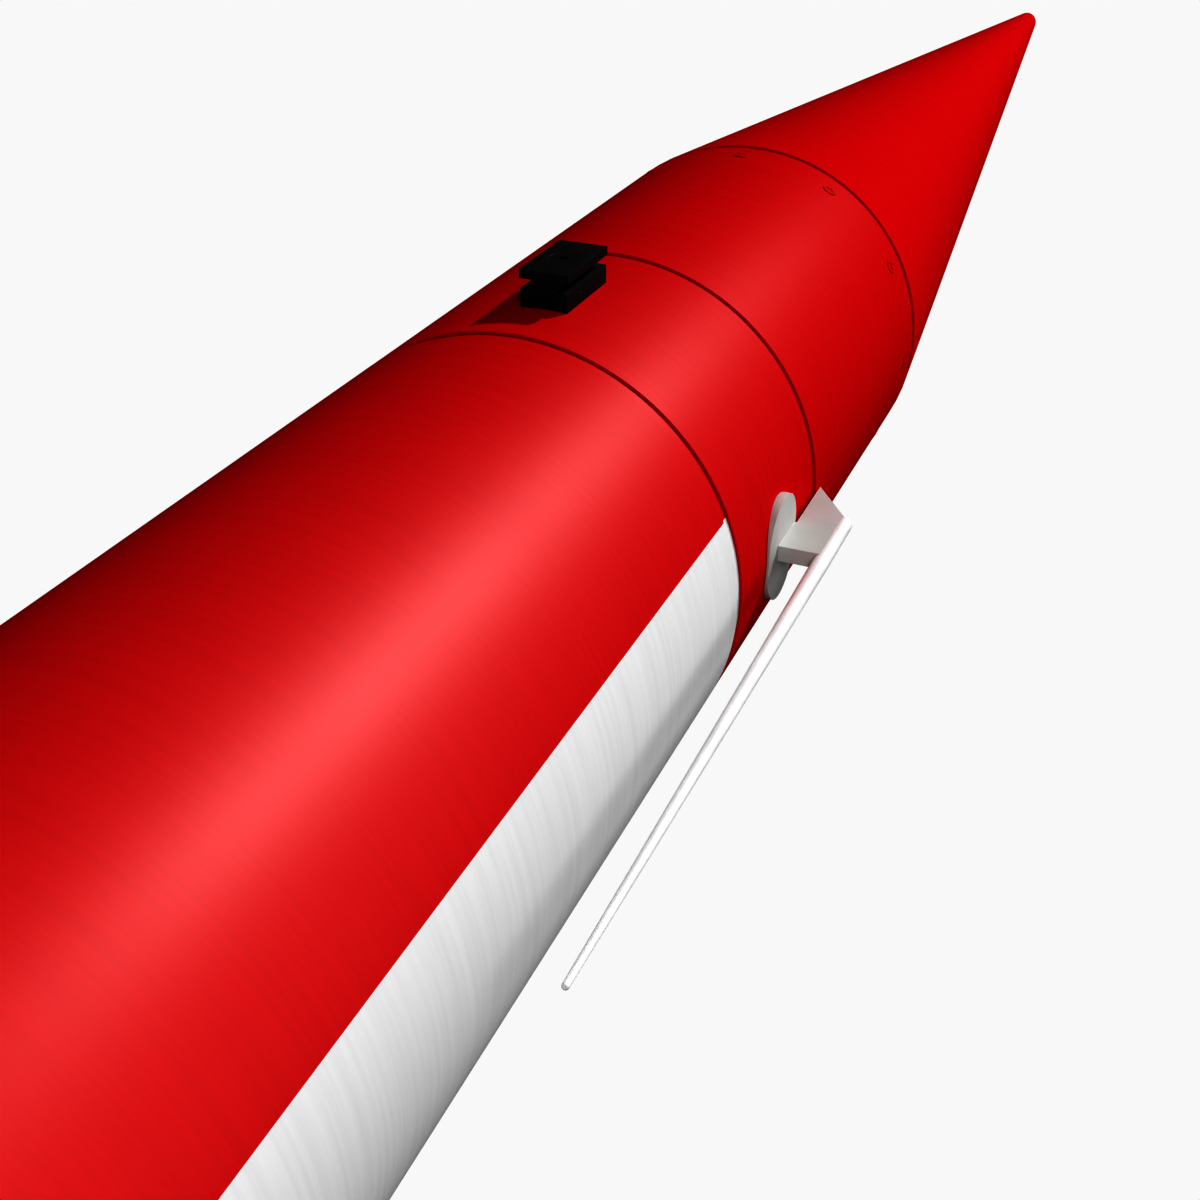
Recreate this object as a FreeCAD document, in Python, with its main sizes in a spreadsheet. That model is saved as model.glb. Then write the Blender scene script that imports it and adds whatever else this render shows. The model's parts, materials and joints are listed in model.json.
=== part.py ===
import FreeCAD, Part
import math
import os
import re

import Sketcher
from FreeCAD import Placement, Rotation, Vector

# Four-inch dual-deployment model rocket, built as an assembly of separate sub-parts.
#
# Frame: +Z runs up the rocket to its nose, the origin is on the rocket's axis in the plane of the four
# fin feet that it stands on, the rail shoes are on the -Y side and the two antennas on +X and -X.

# Driving dimensions, in millimetres, kept in the document's spreadsheet.
DRIVING = {
    # airframe tubes, fore and aft of the three joints
    "body_radius": 51.1,
    "body_wall": 1.6,
    "fin_overhang": 30,
    "booster_length": 914,
    "band_length": 55.3,
    "nose_tube_length": 102.6,
    "groove_width": 2.8,
    "groove_depth": 0.6,
    "section_gap": 0.2,
    "coupler_clearance": 0.08,
    "coupler_wall": 2,
    "coupler_forward": 35,
    "coupler_aft": 90,
    # nose cone
    "cone_height": 558.4,
    "cone_wall": 2,
    "cone_hollow": 430,
    "tip_radius": 5.1,
    "spigot_radius": 46,
    "spigot_length": 14,
    "shoulder_length": 45,
    "shoulder_step": 3,
    "nose_screw_drop": 10.5,
    "nose_screw_radius": 1,
    "nose_head_radius": 2,
    "nose_head_height": 0.25,
    "nose_recess_width": 0.6,
    "nose_bulkhead_rise": 188,
    "plate_thickness": 6,
    "bond_gap": 0.15,
    # launch rail shoes
    "shoe_start": 15.2,
    "shoe_length": 21.2,
    "shoe_base_width": 10.6,
    "shoe_web_width": 5,
    "shoe_flange_width": 11.1,
    "shoe_base_radius": 54.9,
    "shoe_under_radius": 57.1,
    "shoe_top_radius": 59,
    "shoe_screw_radius": 1.5,
    "shoe_head_radius": 3,
    "shoe_head_height": 1.7,
    "shoe_sink_clearance": 0.12,
    "shoe_socket_depth": 1,
    "forward_shoe_screw_length": 16,
    "aft_shoe_screw_length": 22,
    "shoe_nut_width": 10,
    "shoe_nut_thickness": 3,
    "nut_relief": 0.4,
    # antennas
    "foot_width": 24.4,
    "foot_height": 20,
    "foot_rise": 0.5,
    "foot_centre": 26.9,
    "strut_thickness": 3.7,
    "strut_start": 23.6,
    "strut_root_end": 55.4,
    "strut_tip_end": 42.4,
    "strut_lift": 1,
    "strut_step": 1,
    "whip_offset": 61.4,
    "whip_base_radius": 1.87,
    "whip_tip_radius": 0.63,
    "whip_drop": 115.2,
    "stud_radius": 2,
    "stud_length": 10,
    "stud_nut_flats": 7,
    "stud_nut_height": 3,
    # fasteners and drilling
    "hole_clearance": 0.05,
    "drill_length": 20,
    "nut_height": 4,
    "nut_flats": 8,
    "thread_spare": 2,
    "eye_ring_radius": 6.8,
    "eye_wire_radius": 2.2,
    "eye_lift": 11,
    "collar_radius": 4.5,
    "collar_height": 2,
    "bolt_half_span": 12,
    "bow_lift": 10,
    # avionics bay
    "rod_radius": 2.5,
    "rod_spread": 26,
    "rod_depth": 5.6,
    "bulkhead_plate": 3,
    "washer_radius": 5,
    "washer_thickness": 1,
    "sled_width": 60,
    "sled_thickness": 3,
    "sled_margin": 12,
    "guide_radius": 4.05,
    "guide_length": 60,
    "board_rise": 50,
    "board_width": 38,
    "board_length": 86,
    "board_thickness": 1.6,
    "board_screw_radius": 1.5,
    "board_screw_inset": 3.5,
    "board_head_radius": 2.7,
    "board_head_height": 1.8,
    "standoff_radius": 2.5,
    "standoff_height": 4,
    "chip_width": 12,
    "chip_height": 1.6,
    "chip_rise": 30,
    "sensor_width": 6,
    "sensor_height": 2,
    "sensor_rise": 50,
    "component_offset": 10,
    "capacitor_radius": 4,
    "capacitor_height": 11,
    "capacitor_rise": 54,
    "buzzer_radius": 5,
    "buzzer_height": 7,
    "buzzer_rise": 68,
    "terminal_depth": 8,
    "terminal_height": 9,
    "terminal_rise": 6,
    "board_terminal_width": 24,
    "lid_terminal_width": 14,
    "battery_rise": 14,
    "battery_width": 34,
    "battery_length": 50,
    "battery_depth": 15,
    "battery_corner": 2,
    "strap_thickness": 1.2,
    "strap_width": 16,
    "strap_ease": 0.2,
    "strap_slot_depth": 10,
    "transmitter_depth": 12,
    "transmitter_length": 62,
    "transmitter_gap": 8,
    "socket_radius": 3,
    "socket_length": 8,
    "socket_spread": 9,
    "well_radius": 8,
    "well_bore": 6.5,
    "well_height": 17,
    "well_floor": 2,
    "well_across": 20,
    "well_back": 22,
    "rotor_radius": 3.2,
    "bushing_radius": 4.6,
    "switch_width": 16,
    "switch_depth": 14,
    "switch_setback": 1.4,
    "bushing_setback": 0.4,
    "rotor_setback": 1,
    "rotor_depth": 8,
    "rotor_slot_width": 1,
    "port_radius": 1.5,
    # booster and motor
    "mount_bore": 27.2,
    "mount_wall": 1.6,
    "mount_length": 400,
    "glue_gap": 0.05,
    "eye_offset": 39,
    "fin_thickness": 3,
    "fin_span_radius": 150,
    "fin_root_low": 10,
    "fin_root_high": 172,
    "fin_tip_high": 95,
    "fin_foot_width": 18,
    "fin_tab_margin": 12,
    "fin_bevel": 1.2,
    "fillet_radius": 6,
    "fillet_inset": 4,
    "retainer_radius": 32,
    "retainer_length": 15,
    "retainer_lift": 1,
    "retainer_flange": 2,
    "cap_radius": 35,
    "cap_opening": 25.5,
    "cap_lip": 3,
    "grip_radius": 1,
    "case_clearance": 0.1,
    "case_wall": 2.3,
    "case_length": 320,
    "lip_radius": 30.5,
    "lip_height": 5.7,
    "closure_plug": 12,
    "closure_flange": 6,
    "aft_plug": 14,
    "nozzle_radius": 11.9,
    "nozzle_exit": 8.5,
    "nozzle_throat": 4,
    "nozzle_throat_length": 4,
    "nozzle_overhang": 2,
    "nozzle_flange_radius": 20,
    "nozzle_flange_length": 10,
    "free_gap": 0.3,
    # parachute bundles
    "bundle_radius": 42,
    "bundle_corner": 12,
    "bundle_gap": 38,
    "main_length": 160,
    "main_taper": 9,
    "drogue_length": 166,
}

# Lengths that follow from the driving dimensions.
DERIVED = {
    "bore_radius": "body_radius - body_wall",
    "booster_top": "fin_overhang + booster_length",
    "band_top": "booster_top + band_length",
    "nose_tube_top": "band_top + nose_tube_length",
    "coupler_radius": "bore_radius - coupler_clearance",
    "coupler_bore": "coupler_radius - coupler_wall",
    "coupler_low": "booster_top - coupler_aft",
    "coupler_high": "band_top + coupler_forward",
    "cone_slope": "body_radius / cone_height",
    "cone_angle": "atan(cone_slope)",
    "tip_centre": "nose_tube_top + cone_height - tip_radius / sin(cone_angle)",
    "screw_ring": "nose_tube_top - nose_screw_drop",
    "nose_bulkhead_low": "nose_tube_top + nose_bulkhead_rise",
    "shoe_middle": "booster_top + shoe_start + shoe_length / 2",
    "antenna_middle": "booster_top + foot_centre",
    "whip_top": "booster_top + strut_tip_end",
    "rod_hole": "rod_radius + hole_clearance",
    "mount_radius": "mount_bore + mount_wall",
    "mount_top": "fin_overhang + mount_length",
    "aft_ring_low": "fin_overhang + retainer_length + retainer_lift",
    "middle_ring_low": "fin_overhang + fin_root_high",
    "forward_ring_low": "mount_top - 2 * plate_thickness",
    "case_radius": "mount_bore - case_clearance",
    "case_bore": "case_radius - case_wall",
    "case_low": "fin_overhang - free_gap",
    "case_high": "case_low + case_length",
    "lip_low": "case_low - lip_height",
    "cap_low": "lip_low - cap_lip",
    "sled_low": "coupler_low + sled_margin",
    "sled_high": "coupler_high - sled_margin",
    "board_low": "sled_low + board_rise",
    "battery_low": "sled_low + battery_rise",
    "transmitter_low": "battery_low + battery_length + transmitter_gap",
    "strap_low": "battery_low + (battery_length - strap_width) / 2",
    "bulkhead_gap": "coupler_bore - hole_clearance",
    "battery_face": "-sled_thickness / 2 - battery_depth",
    "switch_height": "booster_top + band_length / 2",
    "aft_shoe_middle": "middle_ring_low + plate_thickness",
}

# Where the tie rods and the U-bolts' legs pass through the avionics bay's lids.
ROD_PLACES = [("-rod_spread", "-rod_depth"), ("rod_spread", "-rod_depth")]
BOLT_PLACES = [("-bolt_half_span", 0), ("bolt_half_span", 0)]

document = FreeCAD.newDocument("ModelRocket")
sheet = document.addObject("Spreadsheet::Sheet", "Sizes")
for row, (name, number) in enumerate(DRIVING.items(), start=1):
    sheet.set(f"A{row}", name)
    sheet.set(f"B{row}", str(number))
    sheet.setAlias(f"B{row}", name)
document.recompute()

sub_parts = []


# ---- sizes ----

def formula(text):
    """Spell out a size as an expression on the spreadsheet's cells."""

    def spell(match):
        word = match.group(0)
        if word in DERIVED:
            return "(" + formula(DERIVED[word]) + ")"
        if word in DRIVING:
            return "Sizes." + word
        return word

    return re.sub(r"[a-z_]+", spell, str(text))


def size(text):
    """The present value of a size, in millimetres (or a plain ratio)."""
    return float(sheet.evalExpression(formula(text)))


def bind(thing, **properties):
    """Bind properties of an object to sizes; a double underscore stands for a dot."""
    for name, text in properties.items():
        thing.setExpression(name.replace("__", "."), formula(text))
    return thing


# ---- building blocks ----

def add(kind, name, label=None):
    """A new object of the document. A label makes it a sub-part, and names its file."""
    thing = document.addObject(kind, name)
    if label:
        thing.Label = label
        sub_parts.append(thing)
    return thing


def place(thing, x=0, y=0, z=0, turn=None):
    """Turn an object, then move it to a position given by sizes."""
    if turn:
        thing.Placement = Placement(Vector(), turn)
    return bind(thing, Placement__Base__x=x, Placement__Base__y=y, Placement__Base__z=z)


def about(axis, angle):
    """A rotation by an angle in degrees about one of the frame's axes."""
    return Rotation({"x": Vector(1, 0, 0), "y": Vector(0, 1, 0), "z": Vector(0, 0, 1)}[axis], angle)


TO_PLUS_X = about("y", 90)
TO_PLUS_Y = about("x", -90)
TO_MINUS_Y = about("x", 90)


def cylinder(name, radius, height, x=0, y=0, z=0, turn=None):
    """A cylinder that starts at a point and runs up +Z, or the way that +Z is turned to."""
    thing = bind(add("Part::Cylinder", name), Radius=radius, Height=height)
    return place(thing, x, y, z, turn)


def cone(name, radius, end_radius, height, x=0, y=0, z=0, turn=None):
    """A cone from one radius to the other, placed as a cylinder is."""
    thing = bind(add("Part::Cone", name), Radius1=radius, Radius2=end_radius, Height=height)
    return place(thing, x, y, z, turn)


def block(name, width, depth, height, x=0, y=0, z=0):
    """A box centred on x and y, with its bottom at z."""
    thing = bind(add("Part::Box", name), Length=width, Width=depth, Height=height)
    return place(thing, f"{x} - ({width}) / 2", f"{y} - ({depth}) / 2", z)


def joined(name, pieces, label=None):
    """One solid made of pieces that overlap or touch."""
    thing = add("Part::MultiFuse", name, label)
    thing.Shapes = pieces
    return thing


def gathered(name, pieces, label=None):
    """Separate solids kept together as one object."""
    thing = add("Part::Compound", name, label)
    thing.Links = pieces
    return thing


def cut(name, base, tools, label=None):
    """A base with the tools' space taken away."""
    thing = add("Part::Cut", name, label)
    thing.Base = base
    thing.Tool = tools[0] if len(tools) == 1 else gathered(name + "_tools", tools)
    return thing


def copy(source, x=0, y=0, z=0, turn=None):
    """A linked copy of an object in another place."""
    link = add("App::Link", source.Name + "_copy")
    link.LinkedObject = source
    link.LinkTransform = False
    return place(link, x, y, z, turn)


def around(source, count, first=0):
    """Linked copies of an object, spaced evenly about the rocket's axis."""
    return [copy(source, turn=about("z", first + 360 * index / count)) for index in range(count)]


def arc_centre(start, end, radius, side):
    """The centre of the shorter arc from start to end, on the left (side 1) or right (side -1)."""
    chord = end - start
    reach = math.sqrt(max(radius ** 2 - (chord.Length / 2) ** 2, 0))
    normal = Vector(-chord.y, chord.x, 0).normalize()
    return (start + end) / 2 + normal * (side * reach)


def sketch_outline(body, name, plane, outline):
    """A closed outline on one of the body's origin planes.

    Each corner is (across, up), or (across, up, radius, side) where an arc leads to the next corner.
    """
    sketch = body.newObject("Sketcher::SketchObject", name)
    origin_plane = next(item for item in body.Origin.OriginFeatures if item.Role == plane)
    sketch.AttachmentSupport = (origin_plane, "")
    sketch.MapMode = "FlatFace"
    corners = [Vector(size(corner[0]), size(corner[1]), 0) for corner in outline]
    ends = []
    for index, corner in enumerate(outline):
        start = corners[index]
        end = corners[(index + 1) % len(corners)]
        if len(corner) == 2:
            sketch.addGeometry(Part.LineSegment(start, end))
            ends.append((1, 2))
            continue
        radius = size(corner[2])
        side = corner[3]
        centre = arc_centre(start, end, radius, side)
        first, last = (start, end) if side > 0 else (end, start)
        angles = [math.atan2(point.y - centre.y, point.x - centre.x) for point in (first, last)]
        circle = Part.Circle(centre, Vector(0, 0, 1), radius)
        sketch.addGeometry(Part.ArcOfCircle(circle, angles[0], angles[1]))
        ends.append((1, 2) if side > 0 else (2, 1))
    for index in range(len(outline)):
        following = (index + 1) % len(outline)
        sketch.addConstraint(
            Sketcher.Constraint("Coincident", index, ends[index][1], following, ends[following][0])
        )
    for index, corner in enumerate(outline):
        start_point = ends[index][0]
        for kind, text in zip(("DistanceX", "DistanceY"), corner):
            number = sketch.addConstraint(Sketcher.Constraint(kind, index, start_point, size(text)))
            sketch.setExpression(f"Constraints[{number}]", formula(text))
        if len(corner) > 2:
            number = sketch.addConstraint(Sketcher.Constraint("Radius", index, size(corner[2])))
            sketch.setExpression(f"Constraints[{number}]", formula(corner[2]))
    return sketch


def turned(name, outline, label=None):
    """A body turned about the rocket's axis; the outline is (radius, height)."""
    body = add("PartDesign::Body", name, label)
    sketch = sketch_outline(body, name + "_profile", "XZ_Plane", outline)
    revolution = body.newObject("PartDesign::Revolution", name + "_revolution")
    revolution.Profile = sketch
    revolution.ReferenceAxis = (sketch, ["V_Axis"])
    revolution.Angle = 360
    sketch.Visibility = False
    return body


def padded(name, plane, outline, length, offset=None, label=None):
    """A body with an outline padded from a plane, or evenly to both sides of it with no offset."""
    body = add("PartDesign::Body", name, label)
    sketch = sketch_outline(body, name + "_profile", plane, outline)
    pad = body.newObject("PartDesign::Pad", name + "_pad")
    pad.Profile = sketch
    bind(pad, Length=length)
    if offset is None:
        pad.SideType = "Symmetric"
    else:
        sketch.setExpression("AttachmentOffset.Base.z", formula(offset))
    return body


def pipe(name, inner, outer, low, high, label=None):
    """A plain tube or ring about the rocket's axis."""
    return turned(name, [(inner, low), (outer, low), (outer, high), (inner, high)], label)


def airframe_tube(name, low, high):
    """An airframe tube whose forward end has the shallow groove that marks each joint."""
    shelf = "body_radius - groove_depth"
    return turned(name, [
        ("bore_radius", low),
        ("body_radius", low),
        ("body_radius", f"{high} - groove_width"),
        (shelf, f"{high} - groove_width"),
        (shelf, high),
        ("bore_radius", high),
    ])


def hex_nut(name, flats, height, bore):
    """A plain hexagon nut standing on z = 0."""
    prism = bind(add("Part::Prism", name + "_hexagon"), Circumradius=f"({flats}) / sqrt(3)", Height=height)
    return cut(name, prism, [cylinder(name + "_bore", bore, height)])


# ---- nose section ----

def make_nose_cone():
    """A slender straight-sided cone with a rounded tip, hollow, with a thick land at its base."""
    inner_at_land = "(cone_height - spigot_length) * cone_slope - cone_wall"
    inner_at_top = "(cone_height - cone_hollow) * cone_slope - cone_wall"
    turned("cone", [
        ("spigot_radius", "nose_tube_top"),
        ("body_radius", "nose_tube_top"),
        ("tip_radius * cos(cone_angle)", "tip_centre + tip_radius * sin(cone_angle)", "tip_radius", 1),
        ("0", "tip_centre + tip_radius"),
        ("0", "nose_tube_top + cone_hollow"),
        (inner_at_top, "nose_tube_top + cone_hollow"),
        (inner_at_land, "nose_tube_top + spigot_length"),
        ("spigot_radius", "nose_tube_top + spigot_length"),
    ], "nose_cone")


def make_nose_shoulder():
    """The sleeve that joins cone and tube: a spigot glued in the cone, screwed inside the tube."""
    low = "nose_tube_top - shoulder_length"
    step = "nose_tube_top - shoulder_step"
    spigot_bore = "spigot_radius - coupler_wall"
    sleeve = turned("shoulder_sleeve", [
        ("coupler_bore", low),
        ("coupler_radius", low),
        ("coupler_radius", "nose_tube_top"),
        ("spigot_radius", "nose_tube_top"),
        ("spigot_radius", "nose_tube_top + spigot_length"),
        (spigot_bore, "nose_tube_top + spigot_length"),
        (spigot_bore, step),
        ("coupler_bore", step),
    ])
    cut("shoulder", sleeve, [nose_screw_holes("shoulder_hole", "nose_screw_radius")], "nose_shoulder")


def nose_screw_holes(name, radius):
    """Twelve radial holes just aft of the cone."""
    hole = cylinder(name, radius, "drill_length", x="bore_radius - drill_length / 2", z="screw_ring",
                    turn=TO_PLUS_X)
    return gathered(name + "s", around(gathered(name + "_one", [hole]), 12))


def make_nose_tube():
    """The short tube under the cone, held to the shoulder by the ring of screws."""
    tube = airframe_tube("nose_section_tube", "band_top", "nose_tube_top")
    holes = nose_screw_holes("tube_hole", "nose_screw_radius + hole_clearance")
    cut("nose_section", tube, [holes], "nose_tube")


def make_nose_screws():
    """Twelve small cross-recess screws, their low heads standing on the tube."""
    shank_start = "coupler_bore - nose_screw_radius"
    shank = cylinder("nose_shank", "nose_screw_radius", f"body_radius - ({shank_start})",
                     x=shank_start, z="screw_ring", turn=TO_PLUS_X)
    head = cylinder("nose_head", "nose_head_radius", "nose_head_height",
                    x="body_radius", z="screw_ring", turn=TO_PLUS_X)
    recess_length = "nose_head_radius * 1.2"
    recess_depth = "2 * nose_head_height"
    recess_x = "body_radius + nose_head_height"
    slots = [
        block("recess_along", recess_depth, recess_length, "nose_recess_width",
              x=recess_x, z="screw_ring - nose_recess_width / 2"),
        block("recess_across", recess_depth, "nose_recess_width", recess_length,
              x=recess_x, z=f"screw_ring - {recess_length} / 2"),
    ]
    screw = cut("nose_screw", joined("nose_screw_blank", [shank, head]), [joined("nose_recess", slots)])
    gathered("nose_screw_ring", around(screw, 12), "nose_screws")


def make_nose_anchor():
    """A plywood bulkhead glued high in the cone, with the eyebolt that holds the parachute."""
    low_radius = "(cone_height - nose_bulkhead_rise) * cone_slope - cone_wall - bond_gap"
    high = "nose_bulkhead_low + plate_thickness"
    high_radius = f"{low_radius} - plate_thickness * cone_slope"
    turned("cone_bulkhead", [
        ("rod_hole", "nose_bulkhead_low"),
        (low_radius, "nose_bulkhead_low"),
        (high_radius, high),
        ("rod_hole", high),
    ], "nose_bulkhead")
    gathered("nose_eye", [copy(eyebolt, z="nose_bulkhead_low", turn=about("x", 180))], "nose_eyebolt")
    gathered("nose_eye_nut", [copy(nut, z=high)], "nose_eyebolt_nut")


def bundle(name, low, high, radius, top_radius, label):
    """A parachute folded and rolled in its protective cloth: a plain rounded solid."""
    turned(name, [
        ("0", low),
        (f"{radius} - bundle_corner", low, "bundle_corner", 1),
        (radius, f"{low} + bundle_corner"),
        (top_radius, f"{high} - bundle_corner", "bundle_corner", 1),
        (f"{top_radius} - bundle_corner", high),
        ("0", high),
    ], label)


# ---- fasteners used in several places ----

def make_eyebolt():
    """An eyebolt with its collar on z = 0, its eye above and its shank below."""
    below = "plate_thickness + nut_height + thread_spare"
    eye = place(add("Part::Torus", "eye"), z="eye_lift", turn=TO_PLUS_Y)
    return joined("eyebolt", [
        cylinder("eye_shank", "rod_radius", f"{below} + eye_lift - eye_ring_radius", z=f"-({below})"),
        cylinder("eye_collar", "collar_radius", "collar_height"),
        bind(eye, Radius1="eye_ring_radius", Radius2="eye_wire_radius"),
    ])


def make_u_bolt():
    """A U-bolt whose legs pass down through the plane z = 0, with its bow above."""
    below = "2 * bulkhead_plate + nut_height + thread_spare"
    legs = [
        cylinder("leg", "rod_radius", f"{below} + bow_lift", x=side, z=f"-({below})")
        for side in ("-bolt_half_span", "bolt_half_span")
    ]
    bow = place(add("Part::Torus", "bow"), z="bow_lift", turn=TO_MINUS_Y)
    bind(bow, Radius1="bolt_half_span", Radius2="rod_radius", Angle3=180)
    return joined("u_bolt", [*legs, bow])


def countersunk_screw(name, length):
    """A countersunk socket screw with its head's face on z = 0, running down -Z."""
    blank = joined(name + "_blank", [
        cylinder(name + "_shank", "shoe_screw_radius", length, z=f"-({length})"),
        cone(name + "_head", "shoe_screw_radius", "shoe_head_radius", "shoe_head_height",
             z="-shoe_head_height"),
    ])
    socket = place(add("Part::Prism", name + "_socket"), z="-shoe_socket_depth")
    bind(socket, Circumradius="shoe_screw_radius * 0.75", Height="2 * shoe_socket_depth")
    return cut(name, blank, [socket])


# ---- launch rail shoes ----

def make_shoe_template():
    """An I-section guide with a saddle base, its middle on z = 0, with one countersunk hole."""
    base = "shoe_base_width / 2"
    web = "shoe_web_width / 2"
    flange = "shoe_flange_width / 2"
    skin = f"-sqrt(body_radius ^ 2 - ({base}) ^ 2)"
    outline = [
        (f"-{base}", skin, "body_radius", 1),
        (base, skin),
        (base, "-shoe_base_radius"),
        (web, "-shoe_base_radius"),
        (web, "-shoe_under_radius"),
        (flange, "-shoe_under_radius"),
        (flange, "-shoe_top_radius"),
        (f"-{flange}", "-shoe_top_radius"),
        (f"-{flange}", "-shoe_under_radius"),
        (f"-{web}", "-shoe_under_radius"),
        (f"-{web}", "-shoe_base_radius"),
        (f"-{base}", "-shoe_base_radius"),
    ]
    section = padded("shoe_section", "XY_Plane", outline, "shoe_length")
    hole = cylinder("shoe_hole", "shoe_screw_radius + hole_clearance", "drill_length",
                    y="-shoe_top_radius + drill_length", turn=TO_MINUS_Y)
    sink = cone("shoe_sink", "shoe_screw_radius + shoe_sink_clearance",
                "shoe_head_radius + shoe_sink_clearance", "shoe_head_height",
                y="-shoe_top_radius + shoe_head_height", turn=TO_MINUS_Y)
    return cut("shoe", section, [joined("shoe_drill", [hole, sink])])


def make_shoe(label, middle, screw_length):
    """One shoe with its screw, at a height on the -Y side of the rocket."""
    gathered(label + "_guide", [copy(shoe, z=middle)], label)
    screw = countersunk_screw(label + "_bolt", screw_length)
    face = "-shoe_top_radius + hole_clearance"
    gathered(label + "_fixing", [copy(screw, y=face, z=middle, turn=TO_MINUS_Y)], label + "_screw")


def make_shoe_nut():
    """The square plate nut behind the forward shoe, inside the coupler."""
    outer = "-(coupler_bore - nut_relief)"
    plate = block("shoe_nut_plate", "shoe_nut_width", "shoe_nut_thickness", "shoe_nut_width",
                  y=f"{outer} + shoe_nut_thickness / 2", z="shoe_middle - shoe_nut_width / 2")
    bore = cylinder("shoe_nut_bore", "shoe_screw_radius", "drill_length",
                    y=f"{outer} + drill_length / 2", z="shoe_middle", turn=TO_MINUS_Y)
    cut("shoe_nut", plate, [bore], "forward_shoe_nut")


# ---- antennas ----

def make_antenna_bracket():
    """A foot with a flat outer face, a thin swept strut that carries the whip, and a stud."""
    half_width = "(foot_width - foot_height) / 2"
    half_height = "foot_height / 2"
    stadium = padded("foot_outline", "YZ_Plane", [
        (f"-{half_width}", f"antenna_middle - {half_height}"),
        (half_width, f"antenna_middle - {half_height}", half_height, 1),
        ("foot_width / 2", "antenna_middle", half_height, 1),
        (half_width, f"antenna_middle + {half_height}"),
        (f"-{half_width}", f"antenna_middle + {half_height}", half_height, 1),
        ("-foot_width / 2", "antenna_middle", half_height, 1),
    ], "foot_height", offset="body_radius + foot_rise - foot_height")
    skin = cylinder("foot_seat", "body_radius", "2 * foot_height", z="antenna_middle - foot_height")
    foot = cut("foot", stadium, [skin])
    root = "body_radius + strut_lift"
    foot_face = "body_radius + foot_rise / 2"
    step = f"antenna_middle + {half_height} - strut_step"
    strut = padded("strut", "XZ_Plane", [
        (foot_face, "booster_top + strut_start"),
        ("whip_offset", "booster_top + strut_start"),
        ("whip_offset", "booster_top + strut_tip_end"),
        (root, "booster_top + strut_root_end"),
        (root, step),
        (foot_face, step),
    ], "strut_thickness")
    seat = cylinder("whip_seat", "whip_base_radius + hole_clearance", "strut_tip_end",
                    x="whip_offset", z="booster_top")
    trimmed = cut("strut_trimmed", strut, [seat])
    stud = cylinder("stud", "stud_radius", "foot_rise + stud_length",
                    x="body_radius - stud_length", z="antenna_middle", turn=TO_PLUS_X)
    return joined("antenna_bracket", [foot, trimmed, stud])


def make_whip():
    """A stiff rod that tapers aft, lying along the body, with a rounded free end."""
    free_end = "booster_top - whip_drop"
    length = "strut_tip_end - strut_start"
    return turned("whip_rod", [
        ("0", free_end, "whip_tip_radius", 1),
        ("whip_tip_radius", f"{free_end} + whip_tip_radius"),
        ("whip_base_radius", f"whip_top - ({length})"),
        ("whip_base_radius", "whip_top"),
        ("0", "whip_top"),
    ])


def make_antennas():
    """Two antennas, on the +X and -X sides, each held by a nut inside the wall."""
    bracket = make_antenna_bracket()
    whip = gathered("whip", [copy(make_whip(), x="whip_offset")])
    for letter, angle in (("a", 0), ("b", 180)):
        turn = about("z", angle)
        gathered(f"bracket_{letter}", [copy(bracket, turn=turn)], f"antenna_{letter}_bracket")
        gathered(f"whip_{letter}", [copy(whip, turn=turn)], f"antenna_{letter}_whip")
    stud_nut = hex_nut("stud_nut", "stud_nut_flats", "stud_nut_height", "stud_radius")
    placed = copy(stud_nut, x="coupler_bore - nut_relief - stud_nut_height", z="antenna_middle",
                  turn=TO_PLUS_X)
    gathered("stud_nuts", around(gathered("stud_nut_one", [placed]), 2), "antenna_nuts")


# ---- avionics bay ----

def wall_holes(name):
    """Radial holes through the avionics bay's wall: shoe screw, antenna studs, switch and port."""
    start = "coupler_bore - coupler_wall"
    shoe_hole = cylinder(name + "_shoe", "shoe_screw_radius", "drill_length", y=f"-({start})",
                         z="shoe_middle", turn=TO_MINUS_Y)
    stud_hole = cylinder(name + "_stud", "stud_radius", "drill_length", x=start, z="antenna_middle",
                         turn=TO_PLUS_X)
    stud_holes = around(gathered(name + "_stud_one", [stud_hole]), 2)
    switch_hole = cylinder(name + "_switch", "bushing_radius + hole_clearance", "drill_length", y=start,
                           z="switch_height", turn=TO_PLUS_Y)
    port = cylinder(name + "_port", "port_radius", "drill_length", x=start, z="switch_height",
                    turn=TO_PLUS_X)
    port_hole = copy(gathered(name + "_port_one", [port]), turn=about("z", 120))
    return [shoe_hole, *stud_holes, switch_hole, port_hole]


def make_bay_tubes():
    """The outer band and the long coupler that it is glued around."""
    band = airframe_tube("band_tube", "booster_top", "band_top - section_gap")
    cut("band", band, wall_holes("band_hole"), "avionics_band")
    coupler = pipe("coupler_tube", "coupler_bore", "coupler_radius", "coupler_low", "coupler_high")
    cut("coupler", coupler, wall_holes("coupler_hole"), "avionics_coupler")


def bulkhead(name, face, outward, label):
    """A stepped lid for one end of the coupler, drilled for two rods and a U-bolt."""
    edge = f"{face} + {outward} * bulkhead_plate"
    inside = f"{face} - {outward} * bulkhead_plate"
    outline = [
        ("0", inside),
        ("bulkhead_gap", inside),
        ("bulkhead_gap", face),
        ("coupler_radius", face),
        ("coupler_radius", edge),
        ("0", edge),
    ]
    drill_start = f"{face} - drill_length / 2"
    drills = [cylinder(name + "_hole", "rod_hole", "drill_length", x=across, y=along, z=drill_start)
              for across, along in ROD_PLACES + BOLT_PLACES]
    cut(name, turned(name + "_disc", outline), drills, label)


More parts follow.
